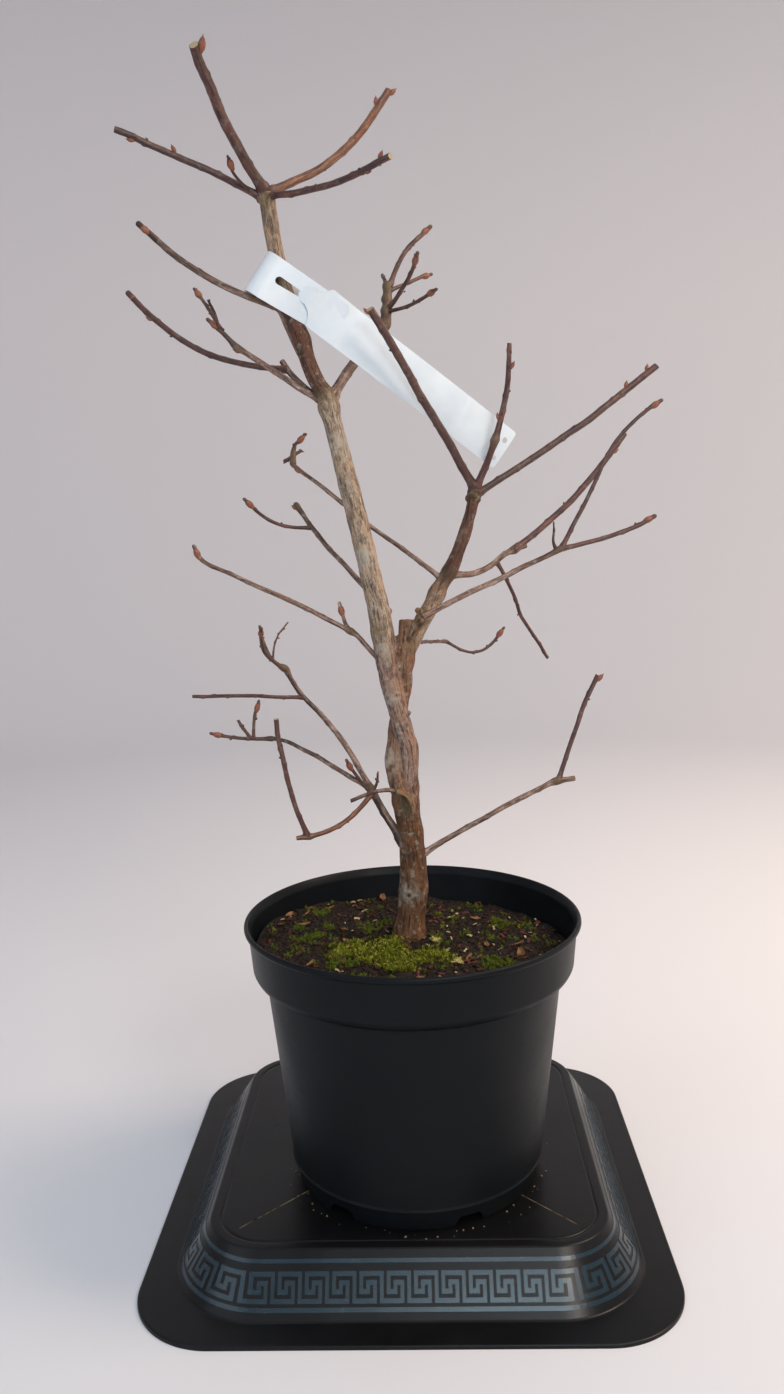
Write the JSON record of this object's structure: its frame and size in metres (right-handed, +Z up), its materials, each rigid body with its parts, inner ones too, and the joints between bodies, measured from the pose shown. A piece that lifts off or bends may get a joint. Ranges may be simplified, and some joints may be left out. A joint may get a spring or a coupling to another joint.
{
  "type": "potted azalea",
  "caption": "Bare young azalea in winter bud with a blank loop label, in a black nursery pot on an upturned square tray.",
  "frame": {"origin": "bottom centre of the whole object's bounding box, on the floor under the tray", "axes": "+Z up along the trunk, -Y the front that the picture shows, +X the viewer's right"},
  "size_m": [0.3278, 0.321, 0.687],
  "materials": {
    "tray_plastic": "satin black",
    "pot_plastic": "matte black",
    "soil_and_moss": "crumbly dark compost with moss",
    "old_bark": "rough grey-brown bark",
    "young_bark": "smooth maroon-brown bark",
    "twig_bark": "brown twigs with red buds",
    "label_film": "white film"
  },
  "bodies": {
    "root": {"stand": "tray_plastic", "pot": "pot_plastic", "root_ball": "soil_and_moss", "trunk": "old_bark", "leader": "old_bark", "upper_leader": "old_bark", "right_stem": "old_bark", "fork_spur": "old_bark", "inner_bough": "old_bark", "low_bough": "old_bark", "mid_right_bough": "old_bark", "left_bough": "old_bark", "left_spur": "old_bark", "low_cut_spur": "old_bark", "top_shoot_front": "young_bark", "top_shoot_right": "young_bark", "top_shoot_low_right": "young_bark", "top_shoot_left": "young_bark", "top_shoot_small": "young_bark", "upper_left_shoot": "young_bark", "left_long_shoot": "young_bark", "inner_shoot": "young_bark", "upright_shoot": "young_bark", "right_shoot": "young_bark", "back_right_spur": "young_bark", "back_right_shoot": "young_bark", "hanging_shoot": "young_bark", "mid_right_shoot": "young_bark", "outer_right_shoot": "young_bark", "back_left_bough": "young_bark", "mid_left_bough": "young_bark", "mid_left_shoot": "young_bark", "long_left_shoot": "young_bark", "low_back_bough": "young_bark", "low_left_shoot": "young_bark", "low_left_bough": "young_bark", "low_front_bough": "young_bark", "low_front_shoot": "young_bark", "low_right_bough": "young_bark", "low_right_shoot": "young_bark", "inner_twigs": "twig_bark", "left_twigs": "twig_bark", "back_left_twigs": "twig_bark", "back_twig": "twig_bark", "low_hub_twigs": "twig_bark", "low_back_twigs": "twig_bark", "low_left_twigs": "twig_bark", "label": "label_film"}
  },
  "joints": []
}
